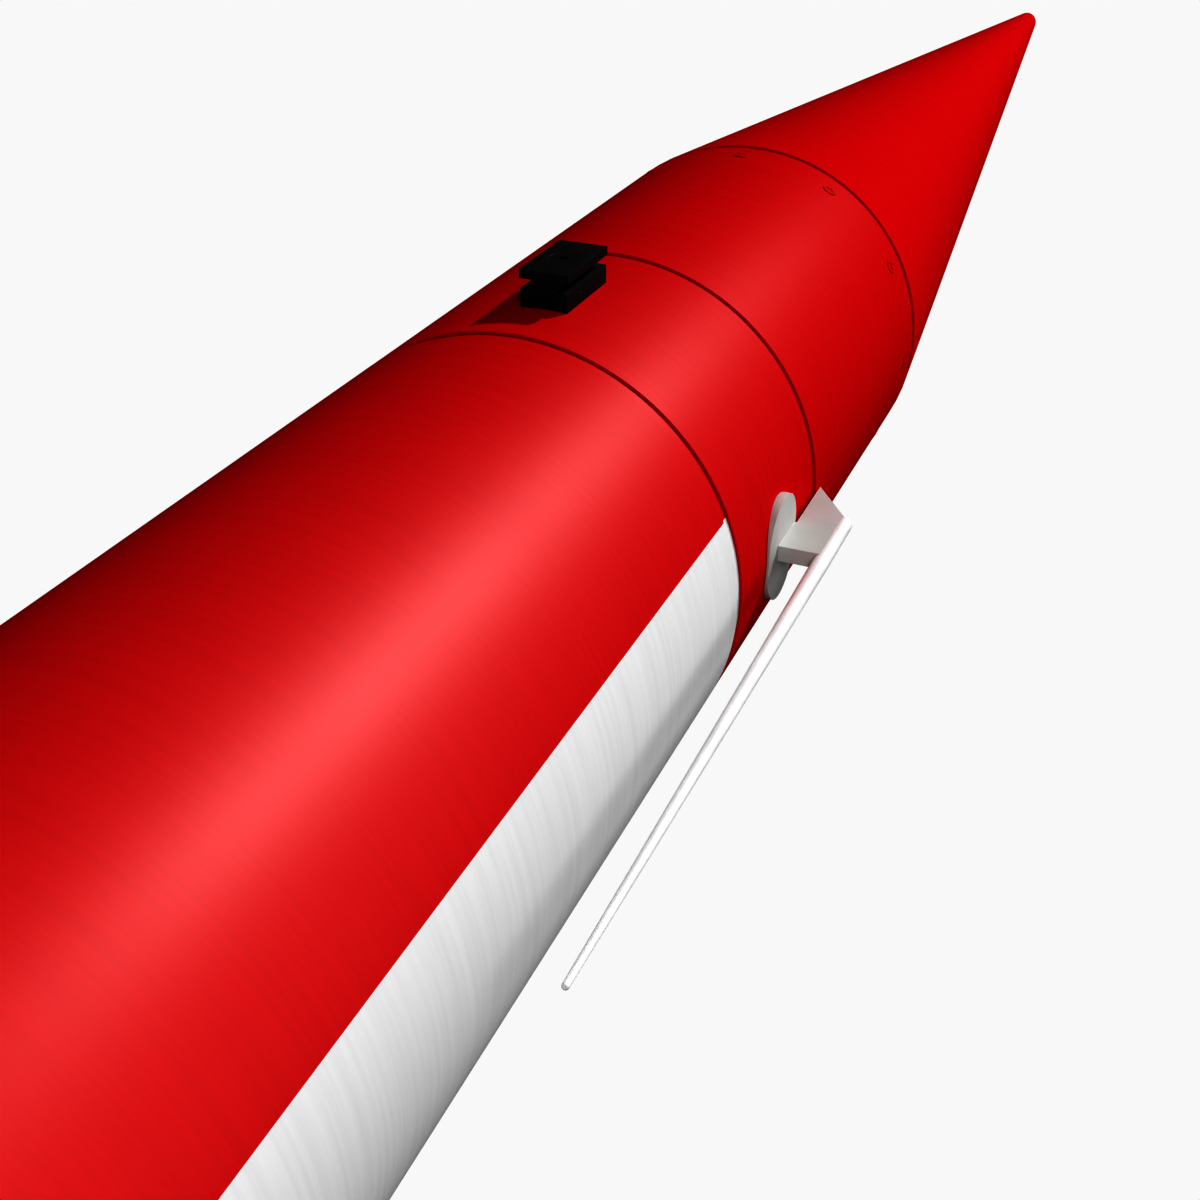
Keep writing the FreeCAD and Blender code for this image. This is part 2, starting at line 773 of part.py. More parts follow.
def make_tie_rods():
    """Two threaded rods clamp both lids on the coupler, with a washer under each nut."""
    reach = "bulkhead_plate + washer_thickness + nut_height + thread_spare"
    low = f"coupler_low - ({reach})"
    length = f"coupler_high - coupler_low + 2 * ({reach})"
    gathered("rods", [cylinder("rod", "rod_radius", length, x=across, y=along, z=low)
                      for across, along in ROD_PLACES], "tie_rods")
    washer = pipe("washer", "rod_hole", "washer_radius", 0, "washer_thickness")
    top = "coupler_high + bulkhead_plate"
    bottom = "coupler_low - bulkhead_plate - washer_thickness"
    gathered("washers", [copy(washer, across, along, height)
                         for across, along in ROD_PLACES for height in (top, bottom)],
             "tie_rod_washers")


def make_bay_bolts():
    """A U-bolt in each lid."""
    gathered("u_bolt_up", [copy(u_bolt, z="coupler_high + bulkhead_plate")], "forward_u_bolt")
    gathered("u_bolt_down", [copy(u_bolt, z="coupler_low - bulkhead_plate", turn=about("x", 180))],
             "aft_u_bolt")


def make_bay_nuts():
    """Eight like nuts: on the outer ends of the two rods, and on the U-bolts' legs inside the lids."""
    rod_ends = ("coupler_high + bulkhead_plate + washer_thickness",
                "coupler_low - bulkhead_plate - washer_thickness - nut_height")
    leg_ends = ("coupler_high - bulkhead_plate - nut_height", "coupler_low + bulkhead_plate")
    on_rods = [copy(nut, across, along, height) for across, along in ROD_PLACES for height in rod_ends]
    on_legs = [copy(nut, across, along, height) for across, along in BOLT_PLACES for height in leg_ends]
    gathered("bay_nut_set", [*on_rods, *on_legs], "bay_nuts")


def charge_well(name, low, floor, label):
    """A small cup for the separation charge, with a closed floor against the lid."""
    cup = cylinder(name + "_cup", "well_radius", "well_height", x="well_across", y="well_back", z=low)
    hollow = cylinder(name + "_hollow", "well_bore", "well_height - well_floor", x="well_across",
                      y="well_back", z=f"{low} + {floor}")
    cut(name, cup, [hollow], label)


def make_sled():
    """The plate that carries the electronics, slid on to the rods by two guide tubes."""
    plate = block("sled_plate", "sled_width", "sled_thickness", "sled_high - sled_low", z="sled_low")
    slot_offset = "(battery_width + strap_thickness) / 2 + strap_ease"
    slots = [block("strap_slot", "strap_thickness + 4 * strap_ease", "strap_slot_depth",
                   "strap_width + 10 * strap_ease", x=f"{side}({slot_offset})",
                   z="strap_low - 5 * strap_ease") for side in ("-", "")]
    cut("sled", plate, slots, "avionics_sled")
    gathered("guides", [
        cut("guide", cylinder("guide_outer", "guide_radius", "guide_length", across, along, height),
            [cylinder("guide_inner", "rod_hole", "guide_length", across, along, height)])
        for across, along in ROD_PLACES for height in ("sled_low", "sled_high - guide_length")
    ], "sled_guide_tubes")


def make_battery():
    """A small pack behind the sled, held by a strap that passes through the sled's slots."""
    middle = "battery_face + battery_depth / 2"
    pack = block("battery_pack", "battery_width", "battery_depth - strap_ease", "battery_length", y=middle,
                 z="battery_low")
    rounding = add("Part::Fillet", "battery_rounded", "battery")
    rounding.Base = pack
    document.recompute()
    corner = size("battery_corner")
    rounding.Edges = [(number + 1, corner, corner) for number in range(len(pack.Shape.Edges))]
    inner_width = "battery_width + 2 * strap_ease"
    inner_depth = "battery_depth + sled_thickness + 2 * strap_ease"
    outer = block("strap_outer", f"{inner_width} + 2 * strap_thickness",
                  f"{inner_depth} + 2 * strap_thickness", "strap_width", y="-battery_depth / 2",
                  z="strap_low")
    inner = block("strap_inner", inner_width, inner_depth, "strap_width", y="-battery_depth / 2",
                  z="strap_low")
    cut("strap", outer, [inner], "battery_strap")


def make_altimeter():
    """The flight computer's board on four standoffs, with its screws and components."""
    base = "sled_thickness / 2"
    board_back = f"{base} + standoff_height"
    board_face = f"{board_back} + board_thickness"
    places = [(f"{side}(board_width / 2 - board_screw_inset)", f"board_low + {height}")
              for side in ("-", "") for height in ("board_screw_inset", "board_length - board_screw_inset")]
    board = block("board_blank", "board_width", "board_thickness", "board_length",
                  y=f"{board_back} + board_thickness / 2", z="board_low")
    drills = [cylinder("board_hole", "board_screw_radius", "drill_length", x=across, y=base, z=height,
                       turn=TO_PLUS_Y) for across, height in places]
    cut("board", board, drills, "altimeter_board")
    gathered("standoffs", [
        cylinder("standoff", "standoff_radius", "standoff_height", x=across, y=base, z=height,
                 turn=TO_PLUS_Y)
        for across, height in places
    ], "board_standoffs")
    gathered("screws", [
        joined("board_screw", [
            cylinder("board_shank", "board_screw_radius", "board_thickness", x=across, y=board_back,
                     z=height, turn=TO_PLUS_Y),
            cylinder("board_head", "board_head_radius", "board_head_height", x=across, y=board_face,
                     z=height, turn=TO_PLUS_Y),
        ]) for across, height in places
    ], "board_screws")
    chip = block("processor", "chip_width", "chip_height", "chip_width",
                 y=f"{board_face} + chip_height / 2", z="board_low + chip_rise")
    sensor = block("pressure_sensor", "sensor_width", "sensor_height", "sensor_width",
                   x="-component_offset", y=f"{board_face} + sensor_height / 2",
                   z="board_low + sensor_rise")
    capacitor = cylinder("capacitor", "capacitor_radius", "capacitor_height", x="component_offset",
                         y=board_face, z="board_low + capacitor_rise", turn=TO_PLUS_Y)
    buzzer = cylinder("buzzer", "buzzer_radius", "buzzer_height", x="-component_offset", y=board_face,
                      z="board_low + buzzer_rise", turn=TO_PLUS_Y)
    gathered("components", [chip, sensor, capacitor, buzzer], "altimeter_components")
    board_terminal = block("board_terminal", "board_terminal_width", "terminal_depth", "terminal_height",
                           y=f"{board_face} + terminal_depth / 2", z="board_low + terminal_rise")
    lid_terminals = [
        block("lid_terminal", "lid_terminal_width", "terminal_depth", "terminal_height",
              x="-well_across", y="well_back", z=height)
        for height in ("coupler_high + bulkhead_plate", "coupler_low - bulkhead_plate - terminal_height")
    ]
    gathered("terminals", [board_terminal, *lid_terminals], "terminal_blocks")


def make_transmitter():
    """The tracking transmitter behind the sled, forward of the battery."""
    middle = "-(sled_thickness + transmitter_depth) / 2"
    case = block("transmitter_case", "battery_width", "transmitter_depth", "transmitter_length", y=middle,
                 z="transmitter_low")
    sockets = [cylinder("antenna_socket", "socket_radius", "socket_length", x=side, y=middle,
                        z="transmitter_low + transmitter_length")
               for side in ("-socket_spread", "socket_spread")]
    joined("transmitter", [case, *sockets], "tracking_transmitter")


def make_switch():
    """A turn-to-arm switch reached through a hole on the +Y side, with a slotted rotor."""
    back = "coupler_bore - switch_depth"
    face = "coupler_bore - switch_setback"
    rotor_back = f"{face} - rotor_depth"
    depth = f"{face} - ({back})"
    housing = block("switch_block", "switch_width", depth, "switch_width", y=f"({back} + {face}) / 2",
                    z="switch_height - switch_width / 2")
    bushing = cylinder("switch_bushing", "bushing_radius", f"body_radius - bushing_setback - ({back})",
                       y=back, z="switch_height", turn=TO_PLUS_Y)
    bore = cylinder("switch_bore", "rotor_radius + hole_clearance", "drill_length", y=rotor_back,
                    z="switch_height", turn=TO_PLUS_Y)
    cut("switch", joined("switch_blank", [housing, bushing]), [bore], "switch_body")
    rotor_start = f"{rotor_back} + free_gap"
    rotor_end = "body_radius - rotor_setback"
    rotor = cylinder("rotor_blank", "rotor_radius", f"{rotor_end} - ({rotor_start})", y=rotor_start,
                     z="switch_height", turn=TO_PLUS_Y)
    slot = block("rotor_slot", "3 * rotor_radius", "2 * rotor_slot_width", "rotor_slot_width",
                 y=rotor_end, z="switch_height - rotor_slot_width / 2")
    cut("rotor", rotor, [slot], "switch_rotor")


# ---- booster ----

def make_booster_tube():
    """The long main tube, slotted for the fins, with the hole for the aft shoe's screw."""
    tube = airframe_tube("main_tube", "fin_overhang", "booster_top - section_gap")
    slot = block("fin_slot", "drill_length / 2", "fin_thickness + 2 * glue_gap",
                 "fin_root_high - fin_root_low - 2 * fin_tab_margin",
                 x="body_radius", z="fin_overhang + fin_root_low + fin_tab_margin")
    hole = cylinder("aft_shoe_hole", "shoe_screw_radius", "drill_length", y="-body_radius + drill_length / 2",
                    z="aft_shoe_middle", turn=TO_MINUS_Y)
    slots = around(gathered("fin_slot_one", [slot]), 4, 45)
    cut("booster_body", tube, [*slots, hole], "booster_tube")


def make_motor_mount():
    """The inner tube that takes the motor, centred in the main tube by three plywood rings."""
    pipe("mount_tube", "mount_bore", "mount_radius", "fin_overhang", "mount_top", "motor_mount_tube")
    inner = "mount_radius + glue_gap"
    outer = "bore_radius - glue_gap"
    pipe("aft_ring", inner, outer, "aft_ring_low", "aft_ring_low + plate_thickness", "aft_centering_ring")
    middle = pipe("middle_ring", inner, outer, "middle_ring_low", "middle_ring_low + 2 * plate_thickness")
    screw_hole = cylinder("ring_screw_hole", "shoe_screw_radius", "drill_length",
                          y="-shoe_top_radius + aft_shoe_screw_length + thread_spare", z="aft_shoe_middle",
                          turn=TO_MINUS_Y)
    cut("middle_ring_drilled", middle, [screw_hole], "middle_centering_ring")
    forward = pipe("forward_ring", inner, outer, "forward_ring_low", "forward_ring_low + plate_thickness")
    eye_hole = cylinder("ring_eye_hole", "rod_hole", "drill_length", y="eye_offset",
                        z="forward_ring_low - plate_thickness")
    cut("forward_ring_drilled", forward, [eye_hole], "forward_centering_ring")
    gathered("booster_eye", [copy(eyebolt, y="eye_offset", z="forward_ring_low + plate_thickness")],
             "booster_eyebolt")
    gathered("booster_eye_nut", [copy(nut, y="eye_offset", z="forward_ring_low - nut_height")],
             "booster_eyebolt_nut")


def make_fins():
    """Four swept through-the-wall fins, their trailing tips forming the feet."""
    tab = "mount_radius + glue_gap"
    root_low = "fin_overhang + fin_root_low"
    root_high = "fin_overhang + fin_root_high"
    tab_low = f"{root_low} + fin_tab_margin"
    tab_high = f"{root_high} - fin_tab_margin"
    fin = padded("fin", "XZ_Plane", [
        (tab, tab_low),
        ("body_radius", tab_low),
        ("body_radius", root_low),
        ("fin_span_radius - fin_foot_width", "0"),
        ("fin_span_radius", "0"),
        ("fin_span_radius", "fin_tip_high"),
        ("body_radius", root_high),
        ("body_radius", tab_high),
        (tab, tab_high),
    ], "fin_thickness")
    document.recompute()
    pad = fin.Tip
    leading = [f"Edge{number}" for number, edge in enumerate(pad.Shape.Edges, start=1) if is_leading(edge)]
    chamfer = fin.newObject("PartDesign::Chamfer", "leading_edge")
    chamfer.Base = (pad, leading)
    bind(chamfer, Size="fin_bevel")
    for number in range(4):
        turn = about("z", 45 + 90 * number)
        gathered(f"fin_at_{number + 1}", [copy(fin, turn=turn)], f"fin_{number + 1}")


def is_leading(edge):
    """Whether an edge of the fin runs along its swept leading edge."""
    middle = edge.CenterOfMass
    along = abs(edge.Vertexes[0].Z - edge.Vertexes[-1].Z) > 10
    return along and middle.x > size("body_radius") + 1 and middle.z > size("fin_tip_high")


def make_fin_fillets():
    """A concave glue fillet along each side of every fin's root."""
    radius = "fillet_radius"
    half = "fin_thickness / 2"
    reach = f"{half} + {radius}"
    seat = "(body_radius + glue_gap)"
    skin_here = f"sqrt({seat} ^ 2 - ({half}) ^ 2)"
    skin_there = f"sqrt({seat} ^ 2 - ({reach}) ^ 2)"
    low = "fin_overhang + fin_root_low + fillet_inset"
    length = "fin_root_high - fin_root_low - 2 * fillet_inset"
    fillets = []
    for sign, side in (("", 1), ("-", -1)):
        strip = padded("fin_fillet", "XY_Plane", [
            (skin_here, f"{sign}({half})"),
            (f"{skin_here} + {radius}", f"{sign}({half})", f"{radius} * 1.05", -side),
            (skin_there, f"{sign}({reach})", seat, -side),
        ], length, offset=low)
        fillets += around(strip, 4, 45)
    gathered("fillet_strips", fillets, "fin_fillets")


def make_retainer():
    """The motor retainer's sleeve on the mount tube, and the ring that screws over it."""
    sleeve_low = "fin_overhang + retainer_lift"
    sleeve_high = "fin_overhang + retainer_length"
    flange_low = f"{sleeve_high} - retainer_flange"
    inner = "mount_radius + glue_gap"
    turned("retainer_sleeve", [
        (inner, sleeve_low),
        ("retainer_radius", sleeve_low),
        ("retainer_radius", flange_low),
        ("cap_radius", flange_low),
        ("cap_radius", sleeve_high),
        (inner, sleeve_high),
    ], "retainer_body")
    bore = "retainer_radius + coupler_clearance"
    cap_top = f"{flange_low} - free_gap"
    ring = turned("retainer_ring", [
        ("cap_opening", "cap_low"),
        ("cap_radius", "cap_low"),
        ("cap_radius", cap_top),
        (bore, cap_top),
        (bore, "lip_low - free_gap"),
        ("cap_opening", "lip_low - free_gap"),
    ])
    grip = cylinder("grip", "grip_radius", "2 * retainer_length", x="cap_radius + 0.4 * grip_radius",
                    z="cap_low - grip_radius")
    cut("retainer_knurled", ring, around(gathered("grip_one", [grip]), 24), "retainer_cap")


def make_motor():
    """An unloaded reloadable motor: case, forward closure, aft closure with its lip, and nozzle."""
    pipe("case", "case_bore", "case_radius", "case_low", "case_high", "motor_case")
    plug = "case_bore - glue_gap"
    turned("forward_plug", [
        ("0", "case_high - closure_plug"),
        (plug, "case_high - closure_plug"),
        (plug, "case_high"),
        ("case_radius", "case_high"),
        ("case_radius", "case_high + closure_flange"),
        ("0", "case_high + closure_flange"),
    ], "forward_closure")
    opening = "nozzle_radius + case_clearance"
    shelf = "case_low + aft_plug"
    turned("aft_plug", [
        (opening, "lip_low"),
        ("lip_radius", "lip_low"),
        ("lip_radius", "case_low"),
        (plug, "case_low"),
        (plug, shelf),
        (opening, shelf),
    ], "aft_closure")
    nozzle_top = f"{shelf} + nozzle_flange_length"
    throat_top = "case_low + closure_plug"
    turned("nozzle", [
        ("nozzle_exit", "lip_low - nozzle_overhang"),
        ("nozzle_radius", "lip_low - nozzle_overhang"),
        ("nozzle_radius", shelf),
        ("nozzle_flange_radius", shelf),
        ("nozzle_flange_radius", nozzle_top),
        (opening, nozzle_top),
        ("nozzle_throat", throat_top),
        ("nozzle_throat", f"{throat_top} - nozzle_throat_length"),
    ], "motor_nozzle")


# ---- assembly ----

nut = hex_nut("nut", "nut_flats", "nut_height", "rod_radius")
eyebolt = make_eyebolt()
u_bolt = make_u_bolt()
shoe = make_shoe_template()

make_nose_cone()
make_nose_shoulder()
make_nose_tube()
make_nose_screws()
make_nose_anchor()
bundle("main_bundle", "coupler_high + bundle_gap", "coupler_high + bundle_gap + main_length",
       "bundle_radius", "bundle_radius - main_taper", "main_parachute")

make_bay_tubes()
bulkhead("forward_lid", "coupler_high", 1, "forward_bulkhead")
bulkhead("aft_lid", "coupler_low", -1, "aft_bulkhead")
make_tie_rods()
make_bay_bolts()
make_bay_nuts()
charge_well("forward_well", "coupler_high + bulkhead_plate", "well_floor", "forward_charge_well")
charge_well("aft_well", "coupler_low - bulkhead_plate - well_height", 0, "aft_charge_well")
make_sled()
make_battery()
make_altimeter()
make_transmitter()
make_switch()
make_shoe("forward_rail_shoe", "shoe_middle", "forward_shoe_screw_length")
make_shoe_nut()
make_antennas()

make_booster_tube()
make_motor_mount()
make_fins()
make_fin_fillets()
make_shoe("aft_rail_shoe", "aft_shoe_middle", "aft_shoe_screw_length")
make_retainer()
bundle("drogue_bundle", "coupler_low - bundle_gap - drogue_length", "coupler_low - bundle_gap",
       "bundle_radius", "bundle_radius", "drogue_parachute")
make_motor()

document.recompute()
for thing in document.Objects:
    if "Invalid" in thing.State or "Error" in thing.State:
        raise RuntimeError(f"{thing.Name} ({thing.Label}) did not build: {thing.State}")
for sub_part in sub_parts:
    if sub_part.Shape.isNull() or not sub_part.Shape.isValid():
        raise RuntimeError(f"{sub_part.Label} has no valid shape")

os.makedirs("parts", exist_ok=True)
for sub_part in sub_parts:
    sub_part.Shape.exportStep(os.path.join("parts", sub_part.Label + ".step"))
print(len(sub_parts), "sub-parts written")
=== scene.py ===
"""The model rocket's looks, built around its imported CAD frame.

Metres, in the CAD frame: +Z to the nose, rail shoes on -Y, antennas on +X and -X.
"""

import json
import math

import bmesh
import bpy
from mathutils import Matrix, Vector, noise


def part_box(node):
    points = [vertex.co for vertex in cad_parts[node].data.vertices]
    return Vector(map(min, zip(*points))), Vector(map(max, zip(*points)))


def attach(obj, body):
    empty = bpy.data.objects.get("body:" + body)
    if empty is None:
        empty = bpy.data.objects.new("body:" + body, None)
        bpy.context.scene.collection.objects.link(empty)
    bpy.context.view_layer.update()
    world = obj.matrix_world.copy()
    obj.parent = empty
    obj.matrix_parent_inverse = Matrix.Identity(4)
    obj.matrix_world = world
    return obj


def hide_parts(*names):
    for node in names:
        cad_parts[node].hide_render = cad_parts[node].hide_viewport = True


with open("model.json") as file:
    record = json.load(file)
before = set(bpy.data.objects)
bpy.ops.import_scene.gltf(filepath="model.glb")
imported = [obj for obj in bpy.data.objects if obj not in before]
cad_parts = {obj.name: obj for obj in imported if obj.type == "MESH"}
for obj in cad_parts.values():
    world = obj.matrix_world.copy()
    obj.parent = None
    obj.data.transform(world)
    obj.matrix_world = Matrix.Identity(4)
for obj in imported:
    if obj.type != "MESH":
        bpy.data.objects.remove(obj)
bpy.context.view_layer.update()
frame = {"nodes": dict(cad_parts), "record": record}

MM = 0.001
NODES = frame["nodes"]
SLOT_OF = {part["node"]: part["material_slot"] for part in frame["record"]["subparts"]}
BODY_OF = {
    node: body for body, nodes in frame["record"]["behaviour"]["bodies"].items() for node in nodes
}

# The joint between main tube and band is the height that the view is set out from.
BAND_LOW, BAND_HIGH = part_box("avionics_band")
JOINT_HEIGHT = BAND_LOW[2]
BODY_RADIUS = (BAND_HIGH[0] - BAND_LOW[0]) / 2

# Camera, in body radii from the joint on the rocket's axis. Its roll is in radians.
CAMERA_PLACE = Vector((2.541, -3.241, -5.2686))
CAMERA_TARGET = Vector((0.3065, 0.2403, 0.1779))
CAMERA_ROLL = 0.6859
LENS_MM = 47.145
SENSOR_MM = 36
NEAREST_SEEN = 10 * MM

# Below one, this steepens the fall-off from light to shade.
DISPLAY_GAMMA = 0.5

# Each lamp's compass angle from +X, height above the horizon, strength and softness, with the
# angles in degrees.
LAMPS = {
    "key_lamp": (-58, 47, 3.2, 3),
    "low_lamp": (-58, -42, 1.5, 25),
    "side_lamp": (-10, 20, 1.1, 40),
    "gloss_lamp": (-58, 43, 5.4, 3),
    "back_lamp": (132, 35, 3, 20),
    "floor_glow": (-52, -88, 0.45, 8),
}
SKY_COLOUR = (0.9685, 0.9685, 0.9685, 1)
SKY_FILL = 0.06

# The floor lies just under the fins' feet, and its far edge stands for the horizon.
FLOOR_REACH = 40
FLOOR_DROP = 0.5 * MM
FLOOR_COLOUR = (0.64, 0.64, 0.64)

# Colours that more than one material has.
RED = (0.60, 0.003, 0.009)
WHITE = (0.74, 0.74, 0.74)
ARAMID = (0.62, 0.42, 0.10)


# ---- view, light and floor ----

def add_object(name, data):
    """A new object in the scene."""
    made = bpy.data.objects.new(name, data)
    bpy.context.scene.collection.objects.link(made)
    return made


def make_camera():
    """A camera below the joint, looking steeply up the rocket."""
    data = bpy.data.cameras.new("camera")
    data.lens = LENS_MM
    data.sensor_width = SENSOR_MM
    data.clip_start = NEAREST_SEEN
    camera = add_object("camera", data)
    joint = Vector((0, 0, JOINT_HEIGHT))
    place = joint + CAMERA_PLACE * BODY_RADIUS
    target = joint + CAMERA_TARGET * BODY_RADIUS
    ahead = (target - place).normalized()
    level_right = ahead.cross(Vector((0, 0, 1))).normalized()
    level_up = level_right.cross(ahead)
    right = math.cos(CAMERA_ROLL) * level_right + math.sin(CAMERA_ROLL) * level_up
    up = math.cos(CAMERA_ROLL) * level_up - math.sin(CAMERA_ROLL) * level_right
    turn = Matrix((right, up, -ahead)).transposed().to_4x4()
    camera.matrix_world = Matrix.Translation(place) @ turn
    bpy.context.scene.camera = camera


def make_lamp(name, compass, height, strength, softness):
    """A distant studio lamp, with its angles in degrees."""
    data = bpy.data.lights.new(name, "SUN")
    data.energy = strength
    data.angle = math.radians(softness)
    lamp = add_object(name, data)
    compass, height = math.radians(compass), math.radians(height)
    towards = Vector((math.cos(height) * math.cos(compass), math.cos(height) * math.sin(compass),
                      math.sin(height)))
    lamp.rotation_euler = towards.to_track_quat("Z", "Y").to_euler()
    return lamp


def make_lamps():
    """The studio lamps. The key and low lamps make no highlights, and the gloss lamp only those."""
    lamps = {name: make_lamp(name, *values) for name, values in LAMPS.items()}
    lamps["key_lamp"].visible_glossy = False
    lamps["low_lamp"].visible_glossy = False
    lamps["gloss_lamp"].visible_diffuse = False


def make_sky():
    """A pale sky to look at, which lights the rocket with a dim even fill."""
    world = bpy.data.worlds.new("studio")
    bpy.context.scene.world = world
    world.use_nodes = True
    nodes, links = world.node_tree.nodes, world.node_tree.links
    nodes.clear()
    path = nodes.new("ShaderNodeLightPath")
    mix = nodes.new("ShaderNodeMixShader")
    output = nodes.new("ShaderNodeOutputWorld")
    links.new(path.outputs["Is Camera Ray"], mix.inputs[0])
    # The mix's first shader lights the rocket, and its second one is what the camera sees.
    for socket, strength in ((1, SKY_FILL), (2, 1)):
        glow = nodes.new("ShaderNodeBackground")
        glow.inputs["Color"].default_value = SKY_COLOUR
        glow.inputs["Strength"].default_value = strength
        links.new(glow.outputs[0], mix.inputs[socket])
    links.new(mix.outputs[0], output.inputs["Surface"])


def make_floor():
    """A plain pale floor that neither colours nor shades the rocket."""
    mesh = bpy.data.meshes.new("floor")
    reach = FLOOR_REACH
    corners = [(-reach, -reach, 0), (reach, -reach, 0), (reach, reach, 0), (-reach, reach, 0)]
    mesh.from_pydata(corners, [], [(0, 1, 2, 3)])
    floor = add_object("floor", mesh)
    floor.location.z = -FLOOR_DROP
    floor.visible_diffuse = False
    floor.visible_shadow = False
    mesh.materials.append(floor_paint())


def make_studio():
    """Lamps, sky, floor and the display's response."""
    make_lamps()
    make_sky()
    make_floor()
    bpy.context.scene.view_settings.view_transform = "Standard"
    bpy.context.scene.view_settings.gamma = DISPLAY_GAMMA


# ---- materials ----

class Surface:
    """A node material that starts as one Principled shader and gains layers of detail."""

    def __init__(self, name, colour, roughness, metallic=0, **sockets):
        self.material = bpy.data.materials.new(name)
        self.material.use_nodes = True
        self.tree = self.material.node_tree
        self.shader = self.tree.nodes["Principled BSDF"]
        self.roughness = roughness
        self.shader.inputs["Base Color"].default_value = (*colour, 1)
        self.shader.inputs["Roughness"].default_value = roughness
        self.shader.inputs["Metallic"].default_value = metallic
        for socket, value in sockets.items():
            self.shader.inputs[socket.replace("_", " ")].default_value = value
        self.place = self.tree.nodes.new("ShaderNodeTexCoord").outputs["Object"]
        self.normal = None

    def node(self, kind, inputs, **settings):
        """A new node with its settings, and its inputs set or linked by name or number."""
        made = self.tree.nodes.new(kind)
        for name, value in settings.items():
            setattr(made, name, value)
        for name, value in inputs.items():
            if isinstance(value, bpy.types.NodeSocket):
                self.tree.links.new(value, made.inputs[name])
            else:
                made.inputs[name].default_value = value
        return made

    def calculate(self, operation, first, second=0.0):
        """One arithmetic step."""
        return self.node("ShaderNodeMath", {0: first, 1: second}, operation=operation).outputs[0]

    def blend(self, first, second, share):
        """Two factors mixed, with the share that the first one has."""
        return self.calculate("ADD", self.calculate("MULTIPLY", first, share),
                              self.calculate("MULTIPLY", second, 1 - share))

    def noise(self, per_metre, detail=4):
        """Noise with its own fineness along each axis."""
        stretched = self.node("ShaderNodeMapping", {"Vector": self.place, "Scale": per_metre})
        return self.node("ShaderNodeTexNoise",
                         {"Vector": stretched.outputs[0], "Scale": 1, "Detail": detail}).outputs[0]

    def weave(self, across, along, thread):
        """Crossing threads of one width, from 0 in the hollows to 1 on the crowns."""
        pitch = math.tau / thread
        warp = self.calculate("SINE", self.calculate("MULTIPLY", across, pitch))
        weft = self.calculate("SINE", self.calculate("MULTIPLY", along, pitch))
        crossing = self.calculate("MULTIPLY", warp, weft)
        return self.calculate("ADD", self.calculate("MULTIPLY", crossing, 0.5), 0.5)

    def split(self):
        """The place's X, Y and Z by themselves."""
        return self.node("ShaderNodeSeparateXYZ", {0: self.place}).outputs

    def angle_and_height(self):
        """Coordinates wrapped round the rocket: arc length on the skin, and height."""
        place = self.split()
        angle = self.calculate("ARCTAN2", place["Y"], place["X"])
        return self.calculate("MULTIPLY", angle, BODY_RADIUS), place["Z"]

    def tint(self, factor, darker, lighter, low=0.3, high=0.7):
        """Colour that runs from darker to lighter as the factor goes from low to high."""
        ramp = self.node("ShaderNodeValToRGB", {"Fac": factor})
        ramp.color_ramp.elements[0].position = low
        ramp.color_ramp.elements[1].position = high
        ramp.color_ramp.elements[0].color = (*darker, 1)
        ramp.color_ramp.elements[1].color = (*lighter, 1)
        self.tree.links.new(ramp.outputs["Color"], self.shader.inputs["Base Color"])

    def polish(self, factor, spread):
        """Roughness that wanders by a spread either side of its middle value."""
        wandering = self.node("ShaderNodeMapRange", {
            "Value": factor, "To Min": self.roughness - spread, "To Max": self.roughness + spread})
        self.tree.links.new(wandering.outputs[0], self.shader.inputs["Roughness"])

    def raise_by(self, height, depth, strength=1.0):
        """Relief of a depth in metres."""
        inputs = {"Height": height, "Distance": depth, "Strength": strength}
        if self.normal:
            inputs["Normal"] = self.normal
        self.normal = self.node("ShaderNodeBump", inputs).outputs[0]
        self.tree.links.new(self.normal, self.shader.inputs["Normal"])

    def dull_at_edges(self, level, full_until=0.28, gone_from=0.72):
        """A gloss that fades as the surface turns away from the eye."""
        facing = self.node("ShaderNodeLayerWeight", {"Blend": 0.5}).outputs["Facing"]
        fade = self.node("ShaderNodeMapRange",
                         {"Value": facing, "From Min": full_until, "From Max": gone_from,
                          "To Min": level, "To Max": 0},
                         interpolation_type="SMOOTHSTEP")
        self.tree.links.new(fade.outputs[0], self.shader.inputs["Specular IOR Level"])


def shade(colour, factor):
    """A colour made darker or lighter."""
    return tuple(min(1, channel * factor) for channel in colour)


def floor_paint():
    """Pale matt paint that can be seen through from underneath."""
    paint = Surface("floor_paint", FLOOR_COLOUR, roughness=0.7, Specular_IOR_Level=0)
    below = paint.node("ShaderNodeNewGeometry", {}).outputs["Backfacing"]
    clear = paint.node("ShaderNodeBsdfTransparent", {}).outputs[0]
    mixed = paint.node("ShaderNodeMixShader", {0: below, 1: paint.shader.outputs[0], 2: clear})
    paint.tree.links.new(mixed.outputs[0], paint.tree.nodes["Material Output"].inputs["Surface"])
    return paint.material


def airframe_paint(name, colour, roughness=0.52):
    """Satin paint over sanded fibreglass, with faint brush marks that run round the tube."""
    paint = Surface(name, colour, roughness)
    paint.dull_at_edges(level=0.3)
    marks = paint.noise((28, 28, 900), detail=5)
    drift = paint.noise((9, 9, 14), detail=2)
    paint.tint(marks, shade(colour, 0.965), shade(colour, 1.02))
    paint.polish(drift, spread=0.04)
    paint.raise_by(marks, 0.02 * MM, strength=0.6)
    return paint.material


